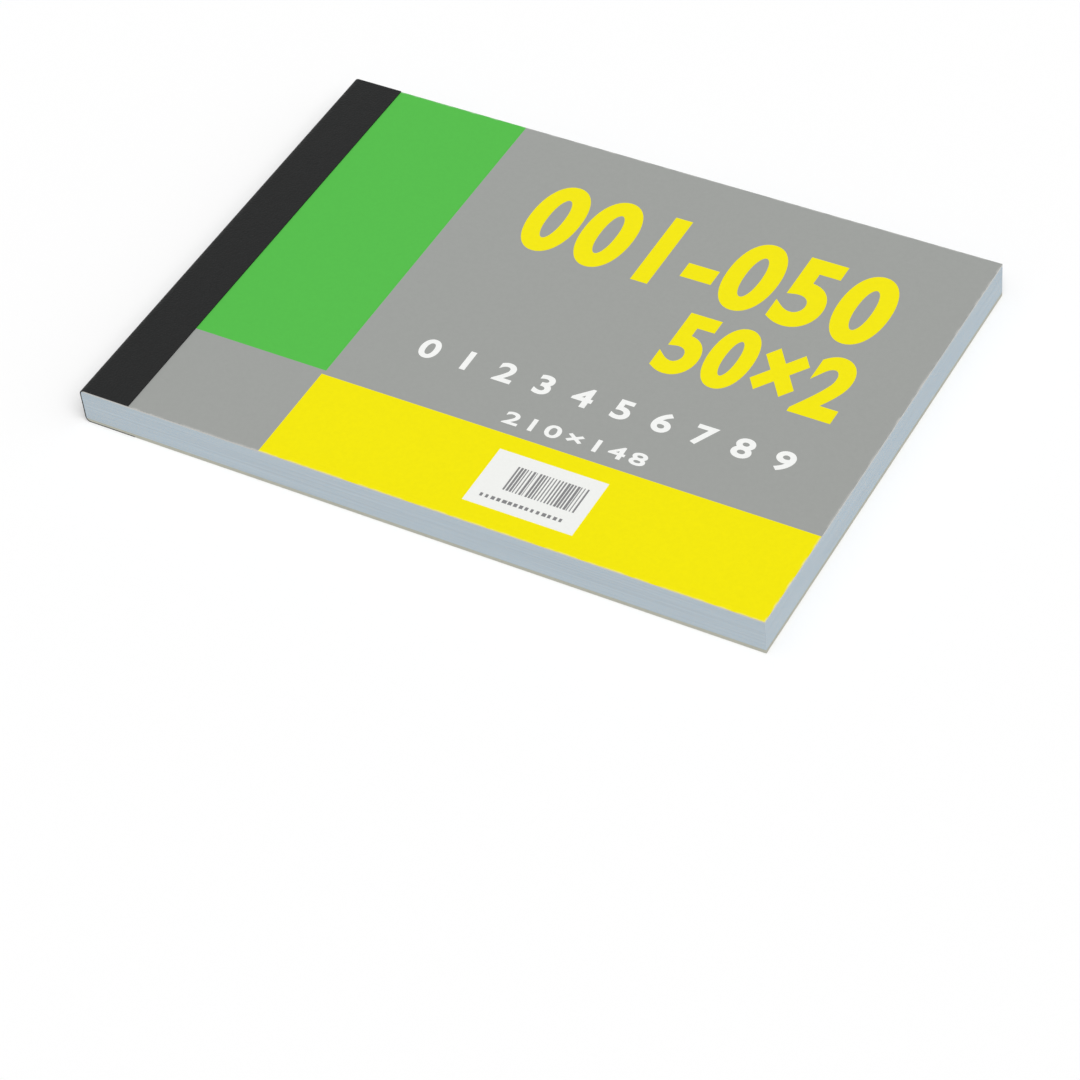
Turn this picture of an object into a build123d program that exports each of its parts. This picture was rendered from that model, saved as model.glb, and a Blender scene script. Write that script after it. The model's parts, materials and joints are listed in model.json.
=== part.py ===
from build123d import *
import os
from math import sqrt

os.makedirs("parts", exist_ok=True)

# A duplicate book, side-stitched and taped along its left-hand short edge, in millimetres.
# +X runs from the spine to the fore-edge, +Y from the tail to the head, +Z from back board to cover.
# The origin is under the middle of the closed book.

# Trimmed size of the closed book
book_width = 210.0
book_height = 148.0

# Paper: every set is a white original over a tinted copy, and set 1 lies under the cover
set_count = 50
turning_sets = 3
sets_per_wad = 5
sheet_thickness = 0.1

# Covers: printed card in front, stiff pale board behind
cover_thickness = 0.45
board_thickness = 1.2

# Binding tape, wrapped from the cover round the spine and let into the board
tape_thickness = 0.3
tape_front_width = 16.3
tape_back_width = 16.3
spine_radius = 1.6
glue_line = 0.05

# Fold line of the cover and the leaves, beside the stitches
fold_inset = 9.0
fold_gap = 0.1

# Wire stitches: flat wire, driven from the cover and clinched inwards under the board
stitch_count = 2
stitch_spacing = 74.0
stitch_inset = 5.0
crown_length = 12.0
clinch_length = 4.5
wire_width = 0.8
wire_thickness = 0.3
wire_bend = 0.45
wire_clearance = 0.05

# Perforation that lets an original's slip tear away from its counterfoil
perforation_inset = 20.0
perforation_pitch = 3.0
perforation_tie = 0.9
perforation_slot = 0.4

# Bar label stuck on the cover
label_width = 33.0
label_height = 20.6
label_thickness = 0.1
label_from_spine = 118.0
label_from_tail = 6.7

# Places that follow from the sizes
spine_x = -book_width / 2
fore_edge_x = book_width / 2
tail_y = -book_height / 2
paper_top = board_thickness + 2 * set_count * sheet_thickness
cover_top = paper_top + cover_thickness
tape_top = cover_top + tape_thickness
stub_end_x = spine_x + fold_inset - fold_gap / 2
leaf_start_x = spine_x + fold_inset + fold_gap / 2
perforation_x = spine_x + perforation_inset
slot_count = int(book_height / perforation_pitch)


def bound_edge(low, high):
    """X of the square bound edge of a sheet between two heights, inside the tape's rounded corners."""
    inner_radius = spine_radius - tape_thickness - glue_line
    into_corner = max(high - (tape_top - spine_radius), spine_radius - low, 0)
    return spine_x + spine_radius - sqrt(max(inner_radius**2 - into_corner**2, 0))


def draw_bound_edge(low, high):
    """Rounded bound edge of a thick layer in X and Z: the room inside the tape, cut to the layer."""
    wall = tape_thickness + glue_line
    with Locations((spine_x + wall, tape_top / 2)):
        RectangleRounded(
            book_width, tape_top - 2 * wall, spine_radius - wall, align=(Align.MIN, Align.CENTER)
        )
    with Locations((spine_x, low)):
        Rectangle(spine_radius, high - low, align=(Align.MIN, Align.MIN), mode=Mode.INTERSECT)


def sheet_bottom(number, layer):
    """Height of the underside of a set's original (layer 0) or copy (layer 1)."""
    return paper_top - (2 * (number - 1) + layer + 1) * sheet_thickness


def draw_sheet(left, right):
    """Rectangle between two X places, over the whole height of the page."""
    with Locations(((left + right) / 2, 0)):
        Rectangle(right - left, book_height)


def draw_perforation():
    """Row of slots taken out of the sketch, which leaves the ties between them."""
    with Locations((perforation_x + perforation_slot / 2, 0)):
        with GridLocations(0, perforation_pitch, 1, slot_count):
            Rectangle(perforation_slot, perforation_pitch - perforation_tie, mode=Mode.SUBTRACT)


def bend_stitches(grow):
    """Sweep the flat wire of every stitch, with its section and its ends grown by a clearance."""
    stitch_plane = Plane.YZ.offset(spine_x + stitch_inset)
    crown_z = cover_top - wire_thickness / 2
    clinch_z = tape_thickness + wire_thickness / 2
    first_y = -stitch_spacing * (stitch_count - 1) / 2
    for index in range(stitch_count):
        low_y = first_y + index * stitch_spacing - crown_length / 2
        high_y = low_y + crown_length
        with BuildLine(stitch_plane) as wire_path:
            FilletPolyline(
                (low_y + clinch_length + grow, clinch_z),
                (low_y, clinch_z),
                (low_y, crown_z),
                (high_y, crown_z),
                (high_y, clinch_z),
                (high_y - clinch_length - grow, clinch_z),
                radius=wire_bend,
            )
        section_plane = Plane(wire_path.line @ 0, x_dir=(1, 0, 0), z_dir=wire_path.line % 0)
        with BuildSketch(section_plane) as wire_section:
            Rectangle(wire_width + 2 * grow, wire_thickness + 2 * grow)
        sweep(wire_section.sketch, path=wire_path.wire())


def save(piece, name):
    """Label a finished piece and write it as its own file."""
    piece.part.label = name
    export_step(piece.part, f"parts/{name}.step")


# Wire stitches, and the channels that they pierce through the layers
with BuildPart() as wire_stitches:
    bend_stitches(0)
save(wire_stitches, "wire_stitches")

with BuildPart() as stitch_channels:
    bend_stitches(wire_clearance)

# Back board, rebated underneath so that the tape lies flush with it
with BuildPart() as back_board:
    with BuildSketch(Plane.XY):
        draw_sheet(spine_x + spine_radius, fore_edge_x)
    extrude(amount=board_thickness)
    with BuildSketch(Plane.XZ):
        draw_bound_edge(0, board_thickness)
    extrude(amount=book_height / 2, both=True)
    with BuildSketch(Plane.XY):
        draw_sheet(spine_x, spine_x + tape_back_width)
    extrude(amount=tape_thickness, mode=Mode.SUBTRACT)
    add(stitch_channels.part, mode=Mode.SUBTRACT)
save(back_board, "back_board")

# Binding tape: from the cover's fold line round the spine to its edge under the board
with BuildPart() as binding_tape:
    with BuildSketch(Plane.XZ):
        with BuildLine():
            outside = FilletPolyline(
                (stub_end_x, tape_top),
                (spine_x, tape_top),
                (spine_x, 0),
                (spine_x + tape_back_width, 0),
                radius=spine_radius,
            )
            inside = FilletPolyline(
                (spine_x + tape_back_width, tape_thickness),
                (spine_x + tape_thickness, tape_thickness),
                (spine_x + tape_thickness, cover_top),
                (stub_end_x, cover_top),
                radius=spine_radius - tape_thickness,
            )
            Line(outside @ 1, inside @ 0)
            Line(inside @ 1, outside @ 0)
        make_face()
    extrude(amount=book_height / 2, both=True)
save(binding_tape, "binding_tape")

# Tape flap: the part of the tape that turns with the cover
with BuildPart() as tape_flap:
    with BuildSketch(Plane.XY.offset(cover_top)):
        draw_sheet(leaf_start_x, spine_x + tape_front_width)
    extrude(amount=tape_thickness)
save(tape_flap, "tape_flap")

# Front cover: a stub held by the stitches, and the panel that opens
with BuildPart() as front_cover_stub:
    with BuildSketch(Plane.XY.offset(paper_top)):
        draw_sheet(spine_x + spine_radius, stub_end_x)
    extrude(amount=cover_thickness)
    with BuildSketch(Plane.XZ):
        draw_bound_edge(paper_top, cover_top)
    extrude(amount=book_height / 2, both=True)
    add(stitch_channels.part, mode=Mode.SUBTRACT)
save(front_cover_stub, "front_cover_stub")

with BuildPart() as front_cover:
    with BuildSketch(Plane.XY.offset(paper_top)):
        draw_sheet(leaf_start_x, fore_edge_x)
    extrude(amount=cover_thickness)
save(front_cover, "front_cover")

# Bar label on the cover
with BuildPart() as bar_label:
    with BuildSketch(Plane.XY.offset(cover_top)):
        with Locations((spine_x + label_from_spine, tail_y + label_from_tail)):
            Rectangle(label_width, label_height, align=(Align.MIN, Align.MIN))
    extrude(amount=label_thickness)
save(bar_label, "bar_label")

# Leaves that turn: an original is a counterfoil with a tear-off slip, a copy is one leaf
for number in range(1, turning_sets + 1):
    with BuildPart() as counterfoil:
        with BuildSketch(Plane.XY.offset(sheet_bottom(number, 0))):
            draw_sheet(leaf_start_x, perforation_x)
        extrude(amount=sheet_thickness)
    save(counterfoil, f"original_{number:02d}_counterfoil")

    with BuildPart() as slip:
        with BuildSketch(Plane.XY.offset(sheet_bottom(number, 0))):
            draw_sheet(perforation_x, fore_edge_x)
            draw_perforation()
        extrude(amount=sheet_thickness)
    save(slip, f"original_{number:02d}_slip")

    with BuildPart() as copy_leaf:
        with BuildSketch(Plane.XY.offset(sheet_bottom(number, 1))):
            draw_sheet(leaf_start_x, fore_edge_x)
        extrude(amount=sheet_thickness)
    save(copy_leaf, f"copy_{number:02d}_leaf")

# Bound stubs of those leaves, pinched under the cover's stub
for layer, kind in enumerate(("original", "copy")):
    with BuildPart() as stubs:
        for number in range(1, turning_sets + 1):
            low = sheet_bottom(number, layer)
            with BuildSketch(Plane.XY.offset(low)):
                draw_sheet(bound_edge(low, low + sheet_thickness), stub_end_x)
            extrude(amount=sheet_thickness)
        add(stitch_channels.part, mode=Mode.SUBTRACT)
    save(stubs, f"{kind}_stubs_01_{turning_sets:02d}")

# Sets still lying in the block, in wads, with the perforation cut in the original that lies on top
for last in range(sets_per_wad, set_count + 1, sets_per_wad):
    first = max(last - sets_per_wad, turning_sets) + 1
    for layer, kind in enumerate(("originals", "copies")):
        with BuildPart() as wad:
            for number in range(first, last + 1):
                low = sheet_bottom(number, layer)
                with BuildSketch(Plane.XY.offset(low)):
                    draw_sheet(bound_edge(low, low + sheet_thickness), fore_edge_x)
                    if layer == 0 and number == turning_sets + 1:
                        draw_perforation()
                extrude(amount=sheet_thickness)
            add(stitch_channels.part, mode=Mode.SUBTRACT)
        save(wad, f"{kind}_{first:02d}_{last:02d}")
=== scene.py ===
"""Looks of a side-stitched duplicate book: printed card cover, book tape, white and blue leaves."""

import json
from typing import NamedTuple

import bpy
import numpy as np
from mathutils import Matrix, Vector
from mathutils.geometry import delaunay_2d_cdt


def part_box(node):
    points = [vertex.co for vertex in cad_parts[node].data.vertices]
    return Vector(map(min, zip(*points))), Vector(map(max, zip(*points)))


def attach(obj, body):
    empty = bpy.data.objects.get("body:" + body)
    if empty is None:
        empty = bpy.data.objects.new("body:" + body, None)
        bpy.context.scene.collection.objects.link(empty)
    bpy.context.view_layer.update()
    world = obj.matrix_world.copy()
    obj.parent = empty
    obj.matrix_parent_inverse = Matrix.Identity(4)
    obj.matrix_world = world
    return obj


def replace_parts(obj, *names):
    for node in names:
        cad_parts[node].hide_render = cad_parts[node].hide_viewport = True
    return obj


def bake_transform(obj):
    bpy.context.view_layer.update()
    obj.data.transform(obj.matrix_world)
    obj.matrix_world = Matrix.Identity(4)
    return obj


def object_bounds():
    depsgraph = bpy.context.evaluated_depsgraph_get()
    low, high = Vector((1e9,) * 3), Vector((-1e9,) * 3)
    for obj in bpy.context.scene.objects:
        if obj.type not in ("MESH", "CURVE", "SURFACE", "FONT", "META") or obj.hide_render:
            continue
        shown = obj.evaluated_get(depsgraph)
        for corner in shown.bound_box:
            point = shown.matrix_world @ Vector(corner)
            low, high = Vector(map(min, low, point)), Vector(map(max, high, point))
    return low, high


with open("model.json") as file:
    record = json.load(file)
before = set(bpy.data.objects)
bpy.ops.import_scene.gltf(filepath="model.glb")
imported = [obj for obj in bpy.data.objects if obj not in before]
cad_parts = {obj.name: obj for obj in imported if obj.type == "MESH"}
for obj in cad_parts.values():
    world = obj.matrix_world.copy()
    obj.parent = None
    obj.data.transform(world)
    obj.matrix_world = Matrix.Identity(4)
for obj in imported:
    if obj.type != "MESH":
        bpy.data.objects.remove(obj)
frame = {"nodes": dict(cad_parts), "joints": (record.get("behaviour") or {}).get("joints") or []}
cad_low, cad_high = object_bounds()

MM = 0.001
TURNING_SETS = 3
TOP_OF_BLOCK = "originals_04_05"

# Places taken from the frame, in metres
tape_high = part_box("binding_tape")[1]
flap_low, flap_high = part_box("tape_flap")
card_low, card_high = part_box("front_cover")
label_low, label_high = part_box("bar_label")
block_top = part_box(TOP_OF_BLOCK)[1].z
spine_x, tail_y = cad_low.x, cad_low.y
fore_edge_x, head_y = cad_high.x, cad_high.y
tape_thickness = flap_high.z - flap_low.z
cover_hinge = next(joint for joint in frame["joints"] if joint["name"] == "front_cover_hinge")
fold_x = cover_hinge["pos_m"][0]

# Radius of the spine's two corners, and the glue between the tape and what it wraps
SPINE_RADIUS = 1.6 * MM
GLUE_LINE = 0.05 * MM

# How far a turning leaf's free edge is cut back, so that a counterfoil stays clear of its slip
EDGE_CUT = 0.01 * MM

# Thickness of the ink on the cover, its label among it, and on a leaf
COVER_INK = 0.03 * MM
SHEET_INK = 0.004 * MM

# How near to a printed face a point is taken to lie on it
FACE_SLACK = 0.02 * MM

# Panels of the cover, in millimetres from the spine and from the tail edge
PAGE_WIDTH = (fore_edge_x - spine_x) / MM
PAGE_HEIGHT = (head_y - tail_y) / MM
GREEN_RIGHT = 59.0
GREEN_BOTTOM = 34.5
YELLOW_LEFT = 58.5
YELLOW_TOP = 33.0

# Ruled form of a leaf, in the same millimetres
FORM_LEFT = 30.0
FORM_RIGHT = 200.0
FORM_BOTTOM = 22.0
LINE_PITCH = 9.0
LINE_COUNT = 11
AMOUNT_LEFT = 166.0
HEADING_RIGHT = 112.0
HEADING_HEIGHTS = (124.0, 134.0)
THIN_RULE = 0.22
THICK_RULE = 0.45


class Line(NamedTuple):
    """Where a line of figures stands: its box, in the same millimetres, and how it fills the box.

    The strokes grow by the weight on each side, and the spacing stretches the steps between figures.
    """

    left: float
    bottom: float
    width: float
    height: float
    weight: float
    spacing: float


RANGE_LINE = Line(left=79, bottom=101, width=112, height=29, weight=1.2, spacing=1.14)
SHEETS_LINE = Line(left=139, bottom=71, width=55, height=25, weight=1.1, spacing=1.1)
SCALE_LINE = Line(left=78, bottom=50, width=114, height=7.6, weight=0.3, spacing=2.0)
FORMAT_LINE = Line(left=113, bottom=36.4, width=43, height=4.8, weight=0.18, spacing=1.25)
NUMBER_LINE = Line(left=172, bottom=124, width=22, height=8, weight=0.15, spacing=1.1)


class Row(NamedTuple):
    """Where a row of marks stands on the label, in millimetres from the label's corner, and its marks.

    There is one mark in every pitch, as wide as a share of the pitch between the least and the most.
    """

    left: float
    bottom: float
    height: float
    count: int
    pitch: float
    least: float
    most: float


BAR_ROW = Row(left=8.0, bottom=7.4, height=9.2, count=23, pitch=0.95, least=0.2, most=0.75)
DASH_ROW = Row(left=3.4, bottom=3.0, height=1.2, count=15, pitch=1.7, least=0.45, most=0.8)
MARK_SEED = 7


def srgb(red, green, blue):
    """Linear colour, with alpha, of an eight-bit screen colour."""
    share = np.array([red, green, blue]) / 255
    linear = np.where(share <= 0.04045, share / 12.92, ((share + 0.055) / 1.055) ** 2.4)
    return (*linear.tolist(), 1.0)


# Colours of the print, the tape, the papers, the board and the wire
COVER_GREY = srgb(158, 160, 157)
COVER_GREEN = srgb(85, 187, 75)
COVER_YELLOW = srgb(243, 231, 0)
CARD_CORE = srgb(226, 226, 222)
CARD_INSIDE = srgb(222, 222, 216)
TAPE_BLACK = srgb(19, 20, 20)
TAPE_WORN = srgb(60, 60, 61)
SHEET_WHITE = srgb(233, 233, 230)
SHEET_BLUE = srgb(177, 208, 230)
RULE_INK = srgb(96, 122, 150)
NUMBER_INK = srgb(176, 38, 40)
WHITE_INK = srgb(244, 245, 243)
LABEL_WHITE = srgb(240, 241, 238)
BAR_INK = srgb(130, 130, 131)
BOARD_PALE = srgb(206, 206, 192)
BOARD_FLECK = srgb(168, 165, 152)
WIRE_GREY = srgb(176, 178, 180)

# Floor as it shows, and as it throws light back
FLOOR_SHOWN = srgb(254, 254, 254)
FLOOR_LIGHT = srgb(190, 190, 190)


class Socket:
    """An output socket. Arithmetic on it adds Math nodes, and node() adds a node of any other type."""

    def __init__(self, tree, output=None):
        self.tree = tree
        self.output = output

    def node(self, kind, settings, inputs, output=0):
        """Add a node, set its settings, then give its inputs values or links; returns one output."""
        made = self.tree.nodes.new(kind)
        for key, value in settings.items():
            setattr(made, key, value)
        for key, value in inputs.items():
            if isinstance(value, Socket):
                self.tree.links.new(value.output, made.inputs[key])
            else:
                made.inputs[key].default_value = value
        return Socket(self.tree, made.outputs[output])

    def math(self, operation, *values):
        """Add a Math node on some values."""
        return self.node("ShaderNodeMath", {"operation": operation}, dict(enumerate(values)))

    def axes(self):
        """The X, Y and Z of a vector."""
        first = self.node("ShaderNodeSeparateXYZ", {}, {0: self})
        return [Socket(self.tree, output) for output in first.output.node.outputs]

    def __add__(self, other):
        return self.math("ADD", self, other)

    def __sub__(self, other):
        return self.math("SUBTRACT", self, other)

    def __rsub__(self, other):
        return self.math("SUBTRACT", other, self)

    def __mul__(self, other):
        return self.math("MULTIPLY", self, other)

    def __truediv__(self, other):
        return self.math("DIVIDE", self, other)

    def __gt__(self, other):
        return self.math("GREATER_THAN", self, other)

    def __lt__(self, other):
        return self.math("LESS_THAN", self, other)

    __radd__ = __add__
    __rmul__ = __mul__


def largest(first, *others):
    """The largest of some values, which on masks is where any of them holds."""
    for other in others:
        first = first.math("MAXIMUM", first, other)
    return first


def smallest(first, *others):
    """The smallest of some values."""
    for other in others:
        first = first.math("MINIMUM", first, other)
    return first


def between(value, low, high):
    """1 where a value lies between two limits, else 0."""
    return (value > low) * (value < high)


def limited(value):
    """A value held between 0 and 1."""
    return smallest(largest(value, 0.0), 1.0)


def near(distance, reach):
    """1 at no distance, which falls evenly to 0 at the reach."""
    return limited(1.0 - distance / reach)


def patches(clouds, gain, cut):
    """Cloudy value sharpened into patches: times a gain, less a cut, held between 0 and 1."""
    return limited(clouds * gain - cut)


def varied(clouds, spread):
    """Factor round 1: a cloudy value, which lies round a half, moves it by half the spread each way."""
    return 1.0 - spread / 2 + clouds * spread


def mixed(factor, first, second):
    """Colour that goes from the first to the second as the factor goes from 0 to 1."""
    return factor.node("ShaderNodeMix", {"data_type": "RGBA"}, {0: factor, 6: first, 7: second}, 2)


def shaded(colour, value):
    """Colour multiplied by a value."""
    grey = value.node("ShaderNodeCombineColor", {}, {0: value, 1: value, 2: value})
    settings = {"data_type": "RGBA", "blend_type": "MULTIPLY"}
    return value.node("ShaderNodeMix", settings, {0: 1.0, 6: colour, 7: grey}, 2)


def stretched(place, scale):
    """A place multiplied axis by axis, so that a pattern runs in lines."""
    return place.node("ShaderNodeVectorMath", {"operation": "MULTIPLY"}, {0: place, 1: scale})


def noise(place, scale=1.0, detail=2.0, roughness=0.5):
    """Cloudy value round a half, with features of about one over the scale, in metres."""
    inputs = {"Vector": place, "Scale": scale, "Detail": detail, "Roughness": roughness}
    return place.node("ShaderNodeTexNoise", {}, inputs, "Fac")


def relief(height, strength, depth):
    """Normal of a surface that stands out by the height times the depth."""
    inputs = {"Strength": strength, "Distance": depth, "Height": height}
    return height.node("ShaderNodeBump", {}, inputs, "Normal")


def begin_material(name, place):
    """New material, its shader, and the place that its patterns follow: Object, or a sheet's rest."""
    material = bpy.data.materials.new(name)
    material.use_nodes = True
    start = Socket(material.node_tree)
    if place == "rest":
        where = start.node("ShaderNodeAttribute", {"attribute_name": "rest"}, {}, "Vector")
    else:
        where = start.node("ShaderNodeTexCoord", {}, {}, place)
    return material, material.node_tree.nodes["Principled BSDF"], where


def dress(shader, **values):
    """Set a shader's sockets, with underscores for the spaces of their names."""
    for name, value in values.items():
        socket = shader.inputs[name.replace("_", " ")]
        if isinstance(value, Socket):
            value.tree.links.new(value.output, socket)
        else:
            socket.default_value = value


def page_places(where):
    """Millimetres from the spine and from the tail edge, and height in millimetres."""
    x, y, z = where.axes()
    return (x - spine_x) / MM, (y - tail_y) / MM, z / MM


def printed_card():
    """Satin card: grey with a green and a yellow panel on top, bare within and at its cut edge."""
    material, shader, where = begin_material("printed_card", "rest")
    across, along, height = page_places(where)
    rub_width, most_rubbed = 0.55, 0.55
    wave_height = 6.0
    front = height > (card_high.z - FACE_SLACK) / MM
    inside = height < (card_low.z + FACE_SLACK) / MM
    green = (across < GREEN_RIGHT) * (along > GREEN_BOTTOM)
    yellow = (across > YELLOW_LEFT) * (along < YELLOW_TOP)
    to_edge = smallest(along, PAGE_HEIGHT - along, PAGE_WIDTH - across)
    scuffs = patches(noise(where, scale=260.0, detail=4.0), gain=4.0, cut=1.7)
    clouds = noise(where, scale=900.0, detail=3.0)
    layers = noise(stretched(where, (300.0, 300.0, 9000.0)))
    ink = mixed(yellow, mixed(green, COVER_GREY, COVER_GREEN), COVER_YELLOW)
    ink = shaded(ink, varied(clouds, 0.07))
    ink = mixed(near(to_edge, rub_width) * scuffs * most_rubbed, ink, CARD_CORE)
    core = shaded(CARD_CORE, varied(layers, 0.2))
    bare = shaded(CARD_INSIDE, varied(noise(where, scale=1500.0), 0.08))
    grain = noise(where, scale=2600.0) + noise(where, scale=26.0, detail=1.0) * wave_height
    dress(
        shader,
        Base_Color=mixed(inside, mixed(front, core, ink), bare),
        Roughness=0.72 - front * (0.24 - clouds * 0.1),
        Specular_IOR_Level=0.1,
        Normal=relief(grain, strength=0.12, depth=0.02 * MM),
    )
    return material


def book_tape():
    """Black book tape: fine pebbled grain with painted shade in its hollows, a little worn along the two
    corners of the spine.
    """
    material, shader, where = begin_material("book_tape", "rest")
    pebble_size = 0.55 * MM
    worn_reach, most_worn = 2.2 * MM, 0.7
    pebbles = where.node(
        "ShaderNodeTexVoronoi",
        {"feature": "SMOOTH_F1"},
        {"Vector": where, "Scale": 1 / pebble_size, "Smoothness": 0.6},
        "Distance",
    )
    clouds = noise(where, scale=420.0, detail=3.0)
    x, _, z = where.axes()
    front_or_back = largest(near(z, worn_reach), near(tape_high.z - z, worn_reach))
    corner = near(x - spine_x, worn_reach) * front_or_back
    worn = corner * patches(noise(where, scale=520.0, detail=4.0), gain=3.0, cut=1.1)
    black = mixed(worn * most_worn, TAPE_BLACK, TAPE_WORN)
    # The base colour is darker where the pebbles' hollows lie, which is painted shade, with some random
    # cloudy tone.
    dress(
        shader,
        Base_Color=shaded(black, 1.18 - pebbles * 0.5 + clouds * 0.2),
        Roughness=0.5 + clouds * 0.16,
        Specular_IOR_Level=0.17,
        Normal=relief(1.0 - pebbles + clouds * 0.3, strength=0.9, depth=0.1 * MM),
    )
    return material


def rule(value, at, width):
    """Mask of a printed line of a given width about one place."""
    return between(value, at - width / 2, at + width / 2)


def form_rules(across, along):
    """Mask of the ruled form: writing lines, an amount column, a total box and two heading lines."""
    form_top = FORM_BOTTOM + LINE_PITCH * (LINE_COUNT - 1)
    total_bottom = FORM_BOTTOM - LINE_PITCH
    past_end = 1.0
    step = (along - FORM_BOTTOM) / LINE_PITCH + 0.5
    from_line = step.math("FRACT", step) - 0.5
    writing = from_line.math("ABSOLUTE", from_line) < THIN_RULE / LINE_PITCH / 2
    writing = writing * between(along, FORM_BOTTOM - past_end, form_top + past_end)
    ends = largest(rule(along, form_top, THICK_RULE), rule(along, FORM_BOTTOM, THICK_RULE))
    level = largest(writing, ends) * between(across, FORM_LEFT, FORM_RIGHT)
    columns = largest(*(rule(across, x, THIN_RULE) for x in (FORM_LEFT, AMOUNT_LEFT, FORM_RIGHT)))
    columns = columns * between(along, FORM_BOTTOM, form_top)
    total_floor = rule(along, total_bottom, THICK_RULE) * between(across, AMOUNT_LEFT, FORM_RIGHT)
    total_sides = largest(*(rule(across, x, THICK_RULE) for x in (AMOUNT_LEFT, FORM_RIGHT)))
    total_sides = total_sides * between(along, total_bottom, FORM_BOTTOM)
    headings = largest(*(rule(along, y, THIN_RULE) for y in HEADING_HEIGHTS))
    headings = headings * between(across, FORM_LEFT, HEADING_RIGHT)
    return largest(level, columns, total_floor, total_sides, headings)


def leaf_paper(name, colour, place, ruled_top=None):
    """Uncoated paper with fibres, lines along its cut edges, and a form on a face at one height.

    Paper without a form lies inside the block and shows only its cut edges, so its fibres get no relief.
    """
    material, shader, where = begin_material(name, place)
    fibres = noise(where, scale=1300.0, detail=3.0)
    shade = varied(fibres, 0.06)
    if place == "Object":
        upright = where.node("ShaderNodeTexCoord", {}, {}, "Normal").axes()[2]
        cut_edge = upright.math("ABSOLUTE", upright) < 0.5
        edge_lines = noise(stretched(where, (20.0, 20.0, 2600.0)), detail=3.0, roughness=0.6)
        edge_contrast = 0.34
        shade = shade + cut_edge * (edge_lines - 0.5) * edge_contrast
    tint = shaded(colour, shade)
    if ruled_top is not None:
        across, along, height = page_places(where)
        upper = height > (ruled_top - FACE_SLACK) / MM
        ink_cover = patches(noise(where, scale=2400.0), gain=2.5, cut=0.2)
        tint = mixed(form_rules(across, along) * upper * ink_cover, tint, RULE_INK)
        dress(shader, Normal=relief(fibres, strength=0.15, depth=0.015 * MM))
    dress(shader, Base_Color=tint, Roughness=0.84 + fibres * 0.1, Specular_IOR_Level=0.2)
    return material


def pulp_board():
    """Pale pulp board with darker flecks."""
    material, shader, where = begin_material("pulp_board", "Object")
    fleck_strength = 0.7
    flecks = patches(noise(where, scale=1500.0, detail=4.0, roughness=0.7), gain=6.0, cut=3.4)
    clouds = noise(where, scale=160.0, detail=3.0)
    flecked = mixed(flecks * fleck_strength, BOARD_PALE, BOARD_FLECK)
    dress(
        shader,
        Base_Color=shaded(flecked, varied(clouds, 0.16)),
        Roughness=0.86 + clouds * 0.1,
        Normal=relief(flecks + clouds, strength=0.2, depth=0.03 * MM),
    )
    return material


def stitch_wire():
    """Tinned flat wire with drawing marks along its length."""
    material, shader, where = begin_material("stitch_wire", "Object")
    marks = noise(stretched(where, (9000.0, 200.0, 200.0)))
    dress(
        shader,
        Base_Color=shaded(WIRE_GREY, varied(marks, 0.4)),
        Roughness=0.25 + marks * 0.2,
        Metallic=1.0,
    )
    return material


def label_paper():
    """Coated white paper, a little cloudy."""
    material, shader, where = begin_material("bar_label", "Object")
    clouds = noise(where, scale=1200.0)
    dress(
        shader,
        Base_Color=shaded(LABEL_WHITE, varied(clouds, 0.06)),
        Roughness=0.5 + clouds * 0.15,
        Specular_IOR_Level=0.25,
    )
    return material


def print_ink(name, colour):
    """Opaque ink with the slight cloudiness of a solid print."""
    material, shader, where = begin_material(name, "Object")
    clouds = noise(where, scale=900.0, detail=3.0)
    dress(
        shader,
        Base_Color=shaded(colour, varied(clouds, 0.07)),
        Roughness=0.48 + clouds * 0.12,
        Specular_IOR_Level=0.16,
        Normal=relief(clouds, strength=0.1, depth=0.01 * MM),
    )
    return material


def add_piece(name, points, faces, material):
    """Object from arrays of points and faces, which keeps the rest place of every point."""
    sharp_angle = 40
    mesh = bpy.data.meshes.new(name)
    mesh.from_pydata(points.tolist(), [], faces)
    rest = mesh.attributes.new("rest", "FLOAT_VECTOR", "POINT")
    rest.data.foreach_set("vector", points.astype(np.float32).ravel())
    mesh.shade_smooth()
    mesh.set_sharp_from_angle(angle=np.radians(sharp_angle))
    mesh.materials.append(material)
    piece = bpy.data.objects.new(name, mesh)
    bpy.context.scene.collection.objects.link(piece)
    return piece


def strip(name, outer, inner, material):
    """Closed strip: an outer and an inner line in X and Z, carried along Y from the tail to the head.

    Point (i, j) of a side is its line's point i at height j of the page; the rim joins the two sides.
    """
    rows = 13
    count = len(outer)
    sides = []
    for line in (outer, inner):
        grid = np.empty((count, rows, 3))
        grid[..., 0] = line[:, None, 0]
        grid[..., 1] = np.linspace(tail_y, head_y, rows)
        grid[..., 2] = line[:, None, 1]
        sides.append(grid.reshape(-1, 3))
    index = np.arange(count * rows).reshape(count, rows)
    corners = [index[:-1, :-1], index[1:, :-1], index[1:, 1:], index[:-1, 1:]]
    quads = np.stack(corners, -1).reshape(-1, 4)
    rim = np.concatenate([index[:, 0], index[-1, 1:], index[-2::-1, -1], index[0, -2::-1]])
    low = count * rows
    walls = np.stack([rim[:-1], rim[:-1] + low, rim[1:] + low, rim[1:]], -1)
    faces = np.concatenate([quads, quads[:, ::-1] + low, walls])
    return add_piece(name, np.concatenate(sides), faces.tolist(), material)


def fold_stations(left, right):
    """X places along a leaf, close together where it bends beside the fold and wide apart elsewhere."""
    bend_from, bend_to = fold_x - 0.5 * MM, fold_x + 4.0 * MM
    bound_count, bend_count, free_count = 4, 46, 14
    return np.concatenate([
        np.linspace(left, bend_from, bound_count)[:-1],
        np.linspace(bend_from, bend_to, bend_count),
        np.linspace(bend_to, right, free_count)[1:],
    ])


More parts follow.
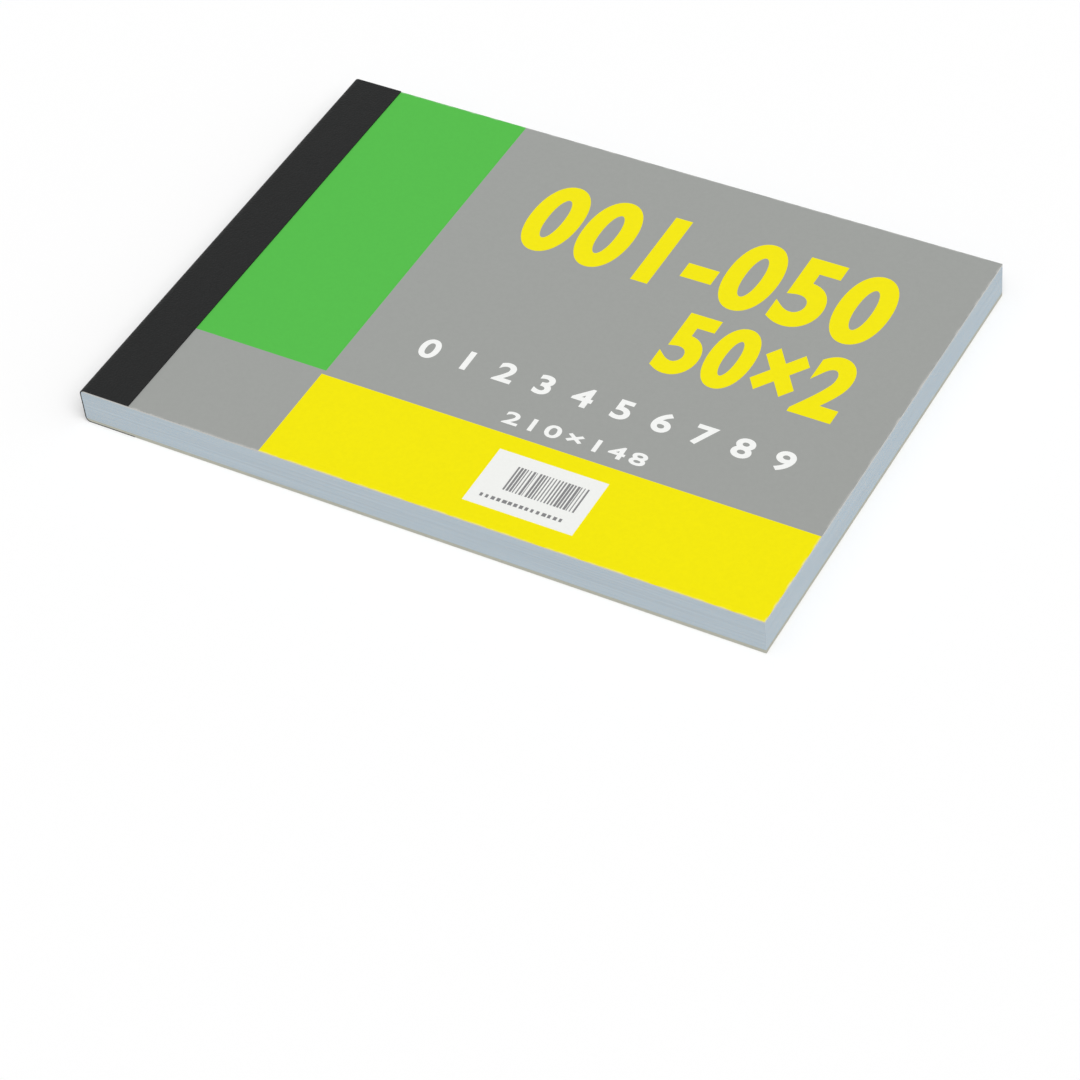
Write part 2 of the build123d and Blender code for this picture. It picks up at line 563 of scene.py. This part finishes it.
def bound_edge(height):
    """X of a leaf's bound edge: on the quarter circle inside the tape, by how far it is in the corner."""
    reach = SPINE_RADIUS - tape_thickness - GLUE_LINE
    into_corner = max(height - (tape_high.z - SPINE_RADIUS), 0.0)
    return spine_x + SPINE_RADIUS - np.sqrt(max(reach**2 - into_corner**2, 0.0))


def flat_sheet(name, right, low, high, material):
    """Flat leaf between two heights, from its bound edge to an X place."""
    sides = []
    for height in (high, low):
        x = fold_stations(bound_edge(height), right)
        sides.append(np.stack([x, np.full_like(x, height)], -1))
    return strip(name, *sides, material)


def bend_at_fold(piece):
    """Set a leaf's place into its mesh; nothing here makes it turn with a body beyond the fold."""
    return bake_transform(piece)


def wrap_tape(material):
    """Tape from under the board, round the spine's two quarter circles and over the fold to its edge."""
    turn_count, under_count = 13, 8
    turn = np.linspace(0.0, np.pi / 2, turn_count)
    centre_x, top_z = spine_x + SPINE_RADIUS, tape_high.z - SPINE_RADIUS
    under = np.linspace(tape_high.x, centre_x, under_count)[:-1]
    over = fold_stations(centre_x, flap_high.x)[1:]
    sides = []
    for inset in (0.0, tape_thickness):
        bend = SPINE_RADIUS - inset
        lower = np.stack([centre_x - bend * np.sin(turn), SPINE_RADIUS - bend * np.cos(turn)], -1)
        upper = np.stack([centre_x - bend * np.cos(turn), top_z + bend * np.sin(turn)], -1)
        bottom = np.stack([under, np.full_like(under, inset)], -1)
        top = np.stack([over, np.full_like(over, tape_high.z - inset)], -1)
        sides.append(np.concatenate([bottom, lower, upper, top]))
    return strip("spine_tape", *sides, material)


def cross(first, second):
    """Cross product of flat vectors, row by row: positive where the second lies to the left."""
    return first[:, 0] * second[:, 1] - first[:, 1] * second[:, 0]


def spline_line(spline):
    """Closed line on a spline: every cubic span at even shares, less the middles of straight runs.

    A share t of a span is (1-t)^3 first + 3(1-t)^2 t leaving + 3(1-t) t^2 arriving + t^3 last.
    """
    steps, straight = 12, 0.002
    found = []
    for key in ("co", "handle_right", "handle_left"):
        values = np.empty(len(spline.bezier_points) * 3)
        spline.bezier_points.foreach_get(key, values)
        found.append(values.reshape(-1, 3)[:, :2])
    first, leaving, arriving = found
    last, arriving = np.roll(first, -1, 0), np.roll(arriving, -1, 0)
    t = np.linspace(0.0, 1.0, steps, endpoint=False)[:, None, None]
    spans = (1 - t)**3 * first + 3 * (1 - t)**2 * t * leaving + 3 * (1 - t) * t**2 * arriving + t**3 * last
    line = spans.transpose(1, 0, 2).reshape(-1, 2)
    before = line - np.roll(line, 1, 0)
    after = np.roll(line, -1, 0) - line
    return line[np.abs(cross(before, after)) > straight * np.hypot(*before.T) * np.hypot(*after.T)]


def grow(line, weight):
    """Closed line moved to its right: each edge is shifted by the weight and meets its neighbours again.

    An edge that this would turn round is taken out first, and its neighbours are drawn on until they meet.
    """
    while True:
        edge = np.roll(line, -1, 0) - line
        along = edge / np.hypot(*edge.T)[:, None]
        right = np.stack([along[:, 1], -along[:, 0]], -1)
        earlier = np.roll(right, 1, 0)
        moved = line + weight * (right + earlier) / (1.0 + (right * earlier).sum(1))[:, None]
        run = ((np.roll(moved, -1, 0) - moved) * along).sum(1)
        worst = run.argmin()
        if run[worst] > 0.0:
            return moved
        before, after = (worst - 1) % len(line), (worst + 1) % len(line)
        gap = line[after] - line[before]
        reach = gap @ right[after] / (along[before] @ right[after])
        line[worst] = line[before] + along[before] * reach
        line = np.delete(line, after, 0)


def fill(lines):
    """Points and triangles of the area between closed lines, with the lines inside others left as holes."""
    inside_with_holes, merge_distance = 2, 1e-7
    ends = np.cumsum([len(line) for line in lines])
    outlines = [indices.tolist() for indices in np.split(np.arange(ends[-1]), ends[:-1])]
    corners = np.concatenate(lines).tolist()
    points, _, triangles, *_ = delaunay_2d_cdt(corners, [], outlines, inside_with_holes, merge_distance)
    return np.array(points), np.array(triangles)


def raise_flat(points, upper):
    """Closed solid, one unit thick, on flat triangles.

    They lie above and, turned over, below, and every edge that only one of them uses gets a wall.
    """
    first = points[upper[:, 1]] - points[upper[:, 0]]
    second = points[upper[:, 2]] - points[upper[:, 0]]
    turned = cross(first, second) < 0.0
    upper[turned] = upper[turned][:, ::-1]
    count = len(points)
    edges = np.concatenate([upper[:, [0, 1]], upper[:, [1, 2]], upper[:, [2, 0]]])
    keys = np.sort(edges, 1) @ [count, 1]
    _, place, uses = np.unique(keys, return_inverse=True, return_counts=True)
    start, end = edges[uses[place] == 1].T
    lower = upper[:, ::-1] + count
    walls = np.stack([start, start + count, end + count, end], -1)
    top = np.column_stack([points, np.ones(count)])
    bottom = np.column_stack([points, np.zeros(count)])
    return np.concatenate([top, bottom]), upper.tolist() + lower.tolist() + walls.tolist()


def raise_figures(name, text, line, base, ink, material):
    """Plain figures: outlines fitted to a line's box, grown by its weight and raised from a base height.

    The outline with the largest area is an outer one, and the way it runs says on which side to grow.
    """
    words = bpy.data.curves.new(name, "FONT")
    words.body = text
    words.space_character = line.spacing
    holder = bpy.data.objects.new(name + "_text", words)
    bpy.context.scene.collection.objects.link(holder)
    graph = bpy.context.evaluated_depsgraph_get()
    outlines = [spline_line(spline) for spline in holder.evaluated_get(graph).to_curve(graph).splines]
    bpy.data.objects.remove(holder)
    every = np.concatenate(outlines)
    low, high = every.min(0), every.max(0)
    scale = np.array([line.width - 2 * line.weight, line.height - 2 * line.weight]) / (high - low)
    outlines = [(outline - low) * scale + line.weight for outline in outlines]
    areas = [np.sum(cross(outline, np.roll(outline, -1, 0))) for outline in outlines]
    weight = line.weight * np.sign(max(areas, key=abs))
    points, faces = raise_flat(*fill([grow(outline, weight) for outline in outlines]))
    corner = np.array([spine_x + line.left * MM, tail_y + line.bottom * MM, base])
    return add_piece(name, points * np.array([MM, MM, ink]) + corner, faces, material)


def raise_marks(name, rows, material):
    """Upright marks on the label, in rows, raised by the ink's thickness.

    A mark starts at each pitch of its row and ends a share of the pitch further on, which is drawn at
    random. Its four corners run round it from the lower left, and two triangles fill it.
    """
    draw = np.random.default_rng(MARK_SEED)
    marks = []
    for row in rows:
        left = row.left + row.pitch * np.arange(row.count)
        right = left + row.pitch * draw.uniform(row.least, row.most, row.count)
        low = np.full_like(left, row.bottom)
        high = low + row.height
        x = np.stack([left, right, right, left], -1)
        y = np.stack([low, low, high, high], -1)
        marks.append(np.stack([x, y], -1).reshape(-1, 2))
    flat = np.concatenate(marks)
    first = np.arange(0, len(flat), 4)[:, None]
    points, faces = raise_flat(flat, np.concatenate([first + [0, 1, 2], first + [0, 2, 3]]))
    corner = np.array([label_low.x, label_low.y, label_high.z])
    return add_piece(name, points * np.array([MM, MM, COVER_INK]) + corner, faces, material)


def dress_node(name, material):
    """Give a node of the frame its finish."""
    materials = frame["nodes"][name].data.materials
    materials.clear()
    materials.append(material)


# Cover, tape and label
cover_card = flat_sheet("cover_card", card_high.x, card_low.z, card_high.z, printed_card())
cover_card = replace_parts(bend_at_fold(cover_card), "front_cover", "front_cover_stub")

spine_tape = wrap_tape(book_tape())
spine_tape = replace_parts(bend_at_fold(spine_tape), "binding_tape", "tape_flap")

dress_node("bar_label", label_paper())
dress_node("back_board", pulp_board())
dress_node("wire_stitches", stitch_wire())

# Print that stands on the cover and on its label
yellow_ink = print_ink("yellow_ink", COVER_YELLOW)
white_ink = print_ink("white_ink", WHITE_INK)
for name, text, line, material in (
    ("cover_range", "001-050", RANGE_LINE, yellow_ink),
    ("cover_sheets", "50×2", SHEETS_LINE, yellow_ink),
    ("cover_scale", "0123456789", SCALE_LINE, white_ink),
    ("cover_format", "210×148", FORMAT_LINE, white_ink),
):
    piece = raise_figures(name, text, line, card_high.z, COVER_INK, material)
    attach(piece, "front_cover")

label_marks = raise_marks("label_marks", (BAR_ROW, DASH_ROW), print_ink("bar_ink", BAR_INK))
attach(label_marks, "front_cover")

# Leaves that turn, each one sheet from its stub to the perforation or the fore-edge
number_ink = print_ink("number_ink", NUMBER_INK)
for number in range(1, TURNING_SETS + 1):
    for kind, colour in (("original", SHEET_WHITE), ("copy", SHEET_BLUE)):
        body = f"{kind}_{number:02d}"
        stubs = f"{kind}_stubs_01_{TURNING_SETS:02d}"
        leaf_node = f"{body}_counterfoil" if kind == "original" else f"{body}_leaf"
        low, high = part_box(leaf_node)
        paper = leaf_paper(f"{body}_paper", colour, "rest", high.z)
        sheet = flat_sheet(f"{body}_sheet", high.x - EDGE_CUT, low.z, high.z, paper)
        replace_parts(bend_at_fold(sheet), leaf_node, stubs)
        carrier = body
        if kind == "original":
            carrier = f"slip_{number:02d}"
            dress_node(f"{body}_slip", leaf_paper(f"{body}_slip_paper", colour, "Object", high.z))
        text = f"{number:03d}"
        piece = raise_figures(f"{body}_number", text, NUMBER_LINE, high.z, SHEET_INK, number_ink)
        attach(piece, carrier)

# Sets that lie in the block
ruled_white = leaf_paper("block_white_ruled", SHEET_WHITE, "Object", block_top)
block_white = leaf_paper("block_white", SHEET_WHITE, "Object")
block_blue = leaf_paper("block_blue", SHEET_BLUE, "Object")
for name in frame["nodes"]:
    if name.startswith("originals_"):
        dress_node(name, ruled_white if name == TOP_OF_BLOCK else block_white)
    if name.startswith("copies_"):
        dress_node(name, block_blue)
text = f"{TURNING_SETS + 1:03d}"
piece = raise_figures("block_number", text, NUMBER_LINE, block_top, SHEET_INK, number_ink)
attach(piece, "binding")


def seen_rays(start):
    """1 for rays that should meet the white surroundings: from the camera, a gloss or through glass."""
    camera = start.node("ShaderNodeLightPath", {}, {}, "Is Camera Ray")
    outputs = camera.output.node.outputs
    gloss = Socket(start.tree, outputs["Is Glossy Ray"])
    through = Socket(start.tree, outputs["Is Transmission Ray"])
    return largest(camera, gloss, through)


def lay_floor():
    """Wide white floor, just under the book, that throws a softer light back than it shows."""
    half, drop = 4.0, 0.05 * MM
    corners = np.array([(-half, -half), (half, -half), (half, half), (-half, half)])
    points = np.column_stack([corners, np.full(4, -drop)])
    material, shader, where = begin_material("pale_floor", "Object")
    shown = mixed(seen_rays(where), FLOOR_LIGHT, FLOOR_SHOWN)
    dress(shader, Base_Color=shown, Roughness=1.0, Specular_IOR_Level=0.0)
    add_piece("floor", points, [[0, 1, 2, 3]], material)


def toward(azimuth, elevation):
    """Direction at an azimuth, counted from -Y to +X, and an elevation, both in radians."""
    return Vector((
        np.sin(azimuth) * np.cos(elevation),
        -np.cos(azimuth) * np.cos(elevation),
        np.sin(elevation),
    ))


def add_lamp(name, azimuth, elevation, softness, strength):
    """Sun lamp that shines from an azimuth and an elevation, as wide as its softness, all in degrees."""
    lamp = bpy.data.lights.new(name, "SUN")
    lamp.energy = strength
    lamp.angle = np.radians(softness)
    holder = bpy.data.objects.new(name, lamp)
    from_place = toward(*np.radians([azimuth, elevation]))
    holder.rotation_euler = from_place.to_track_quat("Z", "Y").to_euler()
    bpy.context.scene.collection.objects.link(holder)


def light_room():
    """White surroundings to look at, a softer even light from them, and two broad soft lamps."""
    world = bpy.data.worlds.new("studio")
    world.use_nodes = True
    bpy.context.scene.world = world
    background = world.node_tree.nodes["Background"]
    ambient, shown = 0.4, 1.0
    strength = ambient + seen_rays(Socket(world.node_tree)) * (shown - ambient)
    world.node_tree.links.new(strength.output, background.inputs["Strength"])
    background.inputs["Color"].default_value = (1.0, 1.0, 1.0, 1.0)
    add_lamp("key", azimuth=52, elevation=58, softness=50, strength=1.87)
    add_lamp("fill", azimuth=-60, elevation=70, softness=60, strength=0.34)


def place_camera():
    """Camera of the photograph: on a sphere round the cover's middle, rolled, then shifted in its plane."""
    azimuth, elevation, roll = np.radians([33.744, 45.532, -6.811])
    distance, shift_across, shift_up = 966.6 * MM, 0.52 * MM, 58.72 * MM
    focal_pixels, frame_pixels, sensor = 3508.0, 1080.0, 36.0
    back = toward(azimuth, elevation)
    level = Vector((np.cos(azimuth), np.sin(azimuth), 0.0))
    upright = back.cross(level)
    right = level * np.cos(roll) + upright * np.sin(roll)
    up = upright * np.cos(roll) - level * np.sin(roll)
    middle = Vector((0.0, 0.0, card_high.z))
    place = middle + back * distance - right * shift_across - up * shift_up
    data = bpy.data.cameras.new("photo_camera")
    data.sensor_width = sensor
    data.lens = focal_pixels / frame_pixels * sensor
    camera = bpy.data.objects.new("photo_camera", data)
    turned = Matrix((right, up, back)).transposed().to_4x4()
    camera.matrix_world = Matrix.Translation(place) @ turned
    bpy.context.scene.collection.objects.link(camera)
    bpy.context.scene.camera = camera


lay_floor()
light_room()
place_camera()
bpy.context.scene.view_settings.view_transform = "Standard"
